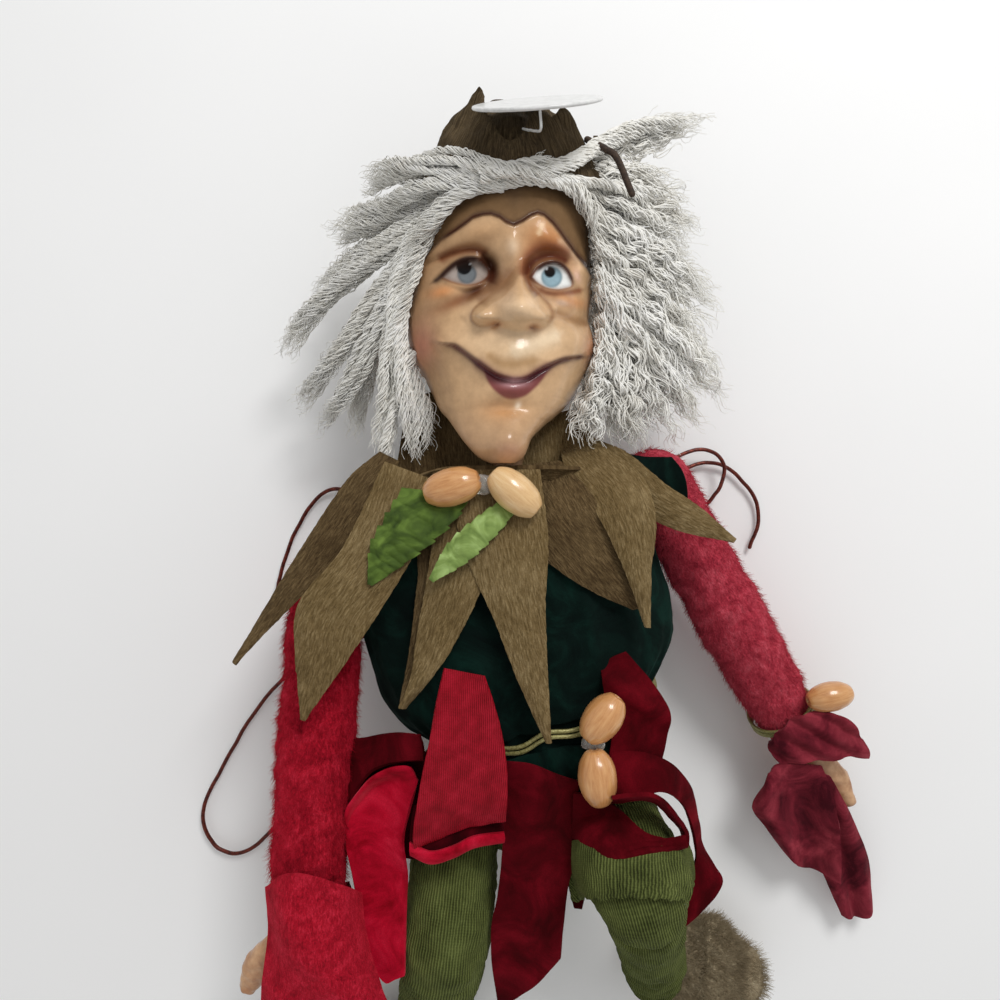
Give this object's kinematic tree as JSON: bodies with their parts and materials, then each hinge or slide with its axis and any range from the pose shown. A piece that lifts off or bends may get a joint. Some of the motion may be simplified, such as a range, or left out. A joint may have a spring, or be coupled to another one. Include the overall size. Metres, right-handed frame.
{
  "type": "elf doll",
  "caption": "Posable elf doll with a glossy resin face, yarn hair, a felt hat and petal collar, a velvet tunic, ribbon skirt and knit legs.",
  "frame": {"origin": "middle of the flat patch on the tunic's back, on the surface that the doll lies on", "axes": "+Z out of the face and chest, +Y towards the hat, +X to the right of someone who looks at the face"},
  "size_m": [0.2181, 0.3166, 0.0805],
  "materials": {
    "tunic_velvet": "soft",
    "knit": "rib knit",
    "collar_felt": "felt",
    "hat_felt": "felt",
    "red_felt": "felt",
    "shoe_felt": "fuzzy felt",
    "ribbon_velvet": "velvet",
    "leaf_cloth": "satin",
    "gold_elastic": "metallic thread",
    "resin": "painted, glossy",
    "yarn": "silky yarn",
    "bead_wood": "varnished",
    "clear_glue": "clear",
    "copper_wire": "lacquered",
    "steel_wire": "plain",
    "tag_card": "smooth"
  },
  "bodies": {
    "torso": {"tunic": "tunic_velvet", "pants_seat": "knit", "neck_stem": "resin", "spine_wire": "steel_wire", "belt": "gold_elastic", "collar_band": "collar_felt", "collar_petal_1": "collar_felt", "collar_petal_2": "collar_felt", "collar_petal_3": "collar_felt", "collar_petal_4": "collar_felt", "collar_petal_5": "collar_felt", "collar_petal_6": "collar_felt", "collar_petal_7": "collar_felt", "leaf_broad": "leaf_cloth", "leaf_narrow": "leaf_cloth", "neck_bead_left": "bead_wood", "neck_bead_right": "bead_wood", "neck_glue": "clear_glue", "waist_bead_upper": "bead_wood", "waist_bead_lower": "bead_wood", "waist_glue": "clear_glue", "ribbon_loop_left": "ribbon_velvet", "ribbon_tail_left": "ribbon_velvet", "ribbon_tail_centre": "ribbon_velvet", "ribbon_loop_right": "ribbon_velvet", "ribbon_loop_inner": "ribbon_velvet", "ribbon_strip_right": "ribbon_velvet", "wing_left_upper": "copper_wire", "wing_left_lower": "copper_wire", "wing_right_outer": "copper_wire", "wing_right_inner": "copper_wire"},
    "head": {"head": "resin", "hat_dome": "hat_felt", "hat_petals": "hat_felt", "tag_pin": "clear_glue", "hat_twig": "copper_wire", "hair_cap": "yarn", "hair_left": "yarn", "hair_right": "yarn"},
    "tag": {"tag_disc": "tag_card"},
    "right_upper_arm": {"sleeve_upper_right": "red_felt"},
    "right_forearm": {"sleeve_fore_right": "red_felt", "wrist_band_right": "gold_elastic", "hand_right": "resin", "wrist_bead_right": "bead_wood", "cuff_flap_right": "ribbon_velvet", "cuff_tail_right": "ribbon_velvet"},
    "left_upper_arm": {"sleeve_upper_left": "red_felt"},
    "left_forearm": {"sleeve_fore_left": "red_felt", "wrist_band_left": "gold_elastic", "hand_left": "resin", "cuff_flap_left": "ribbon_velvet", "cuff_tail_left": "ribbon_velvet"},
    "left_thigh": {"leg_thigh_left": "knit"},
    "left_shin": {"leg_shin_left": "knit"},
    "left_foot": {"shoe_left": "shoe_felt"},
    "right_thigh": {"leg_thigh_right": "knit"},
    "right_shin": {"leg_shin_right": "knit"},
    "right_foot": {"shoe_right": "shoe_felt"}
  },
  "joints": [
    {"name": "head_turn", "type": "hinge", "parent": "torso", "child": "head", "pos_m": [-0.004, 0.05, 0.034], "axis": [0, 1, 0], "range_deg": [-45, 45]},
    {"name": "tag_swing", "type": "hinge", "parent": "head", "child": "tag", "pos_m": [0.0033, 0.13076, 0.07772], "axis": [1, 0, 0], "range_deg": [0, 35]},
    {"name": "right_shoulder", "type": "hinge", "parent": "torso", "child": "right_upper_arm", "pos_m": [0.04066, 0.04229, 0.028], "axis": [0, 0, 1], "range_deg": [-4, 100], "deforming": ["hair_right"]},
    {"name": "right_elbow", "type": "hinge", "parent": "right_upper_arm", "child": "right_forearm", "pos_m": [0.0644, 0.00309, 0.02399], "axis": [-0.8554, -0.518, 0], "range_deg": [0, 95]},
    {"name": "left_shoulder", "type": "hinge", "parent": "torso", "child": "left_upper_arm", "pos_m": [-0.05714, 0.01332, 0.032], "axis": [0, 0, -1], "range_deg": [-4, 100], "deforming": ["hair_left"]},
    {"name": "left_elbow", "type": "hinge", "parent": "left_upper_arm", "child": "left_forearm", "pos_m": [-0.05831, -0.03166, 0.04156], "axis": [-0.9997, 0.0262, 0], "range_deg": [0, 80]},
    {"name": "left_hip", "type": "hinge", "parent": "torso", "child": "left_thigh", "pos_m": [-0.017, -0.045, 0.026], "axis": [-0.9947, 0.1028, 0], "range_deg": [-20, 50], "deforming": ["ribbon_loop_left", "ribbon_tail_left", "ribbon_tail_centre"]},
    {"name": "left_knee", "type": "hinge", "parent": "left_thigh", "child": "left_shin", "pos_m": [-0.02102, -0.08386, 0.04397], "axis": [0.9947, -0.1028, 0], "range_deg": [-45, 55]},
    {"name": "left_ankle", "type": "hinge", "parent": "left_shin", "child": "left_foot", "pos_m": [-0.02988, -0.14112, 0.01238], "axis": [0.2008, -0.4969, 0.8443], "range_deg": [-20, 20]},
    {"name": "right_hip", "type": "hinge", "parent": "torso", "child": "right_thigh", "pos_m": [0.022, -0.042, 0.026], "axis": [-0.9232, -0.3843, 0], "range_deg": [-55, 8], "deforming": ["ribbon_loop_right", "ribbon_loop_inner", "ribbon_strip_right"]},
    {"name": "right_knee", "type": "hinge", "parent": "right_thigh", "child": "right_shin", "pos_m": [0.03011, -0.06149, 0.06346], "axis": [0.9232, 0.3843, 0], "range_deg": [-90, 5]},
    {"name": "right_ankle", "type": "hinge", "parent": "right_shin", "child": "right_foot", "pos_m": [0.04255, -0.10925, 0.01964], "axis": [0.1465, 0.6892, -0.7096], "range_deg": [-20, 20]}
  ]
}
